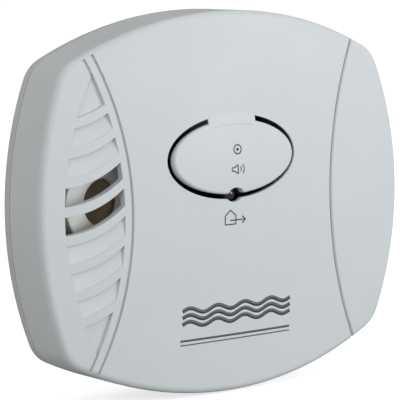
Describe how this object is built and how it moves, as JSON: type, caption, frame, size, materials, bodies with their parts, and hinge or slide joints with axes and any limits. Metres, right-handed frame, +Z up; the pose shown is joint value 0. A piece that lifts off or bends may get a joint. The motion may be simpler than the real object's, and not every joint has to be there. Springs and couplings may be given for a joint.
{
  "type": "carbon monoxide alarm",
  "caption": "Wall-hung battery carbon monoxide alarm: domed case, louvred horn outlet, oval test button on a living hinge, slide-off battery cover.",
  "frame": {"origin": "middle of the flat back face, on the wall plane", "axes": "+Z up the wall, +X to the right seen from the front, -Y out of the wall"},
  "size_m": [0.1143, 0.0267, 0.097],
  "materials": {
    "case_plastic": "fine moulded texture",
    "horn_plastic": "moulded cream",
    "board": "solder mask",
    "black_plastic": "moulded black",
    "steel": "plated",
    "brass": "sheet",
    "ceramic": "silvered",
    "felt": "felt",
    "led_lens": "tinted",
    "ferrite": "ferrite",
    "copper": "enamelled wire",
    "capacitor_sleeve": "sleeve",
    "cell_sleeve": "printed sleeve",
    "red_insulation": "insulation",
    "black_insulation": "insulation",
    "label_paper": "paper film"
  },
  "bodies": {
    "case": {"rear_housing": "case_plastic", "front_cover": "case_plastic", "circuit_board": "board", "horn_base": "horn_plastic", "horn_cap": "horn_plastic", "sounder_plate": "brass", "sounder_ceramic": "ceramic", "co_sensor": "black_plastic", "sensor_cap": "steel", "sensor_filter": "felt", "switch_body": "black_plastic", "switch_plate": "steel", "indicator_led": "led_lens", "led_spacer": "black_plastic", "led_leads": "steel", "microcontroller": "black_plastic", "microcontroller_pins": "steel", "crystal": "steel", "horn_coil": "ferrite", "coil_winding": "copper", "capacitors": "capacitor_sleeve", "transistors": "black_plastic", "chip_resistors": "black_plastic", "board_screws": "steel", "case_screws": "steel", "battery_cell_inner": "cell_sleeve", "battery_cell_outer": "cell_sleeve", "positive_contact": "steel", "negative_contact": "steel", "cell_link": "steel", "inner_cell_spring": "steel", "outer_cell_spring": "steel", "positive_lead": "red_insulation", "negative_lead": "black_insulation", "rear_label": "label_paper"},
    "battery_cover": {"battery_cover": "case_plastic"},
    "test_button": {"test_button": "case_plastic"},
    "switch_plunger": {"switch_plunger": "black_plastic"}
  },
  "joints": [
    {"name": "battery_cover_slide", "type": "slide", "parent": "case", "child": "battery_cover", "axis": [1, 0, 0], "range_m": [0, 0.03]},
    {"name": "test_button_press", "type": "hinge", "parent": "case", "child": "test_button", "pos_m": [-0.0012, -0.0247, 0.02131], "axis": [1, 0, 0], "range_deg": [0, 1.6]},
    {"name": "switch_plunger_travel", "type": "slide", "parent": "case", "child": "switch_plunger", "axis": [0, 1, 0], "range_m": [0, 0.0005]}
  ],
  "couplings": [
    {"joint": "switch_plunger_travel", "follows": "test_button_press", "m_per_rad": 0.01181}
  ]
}
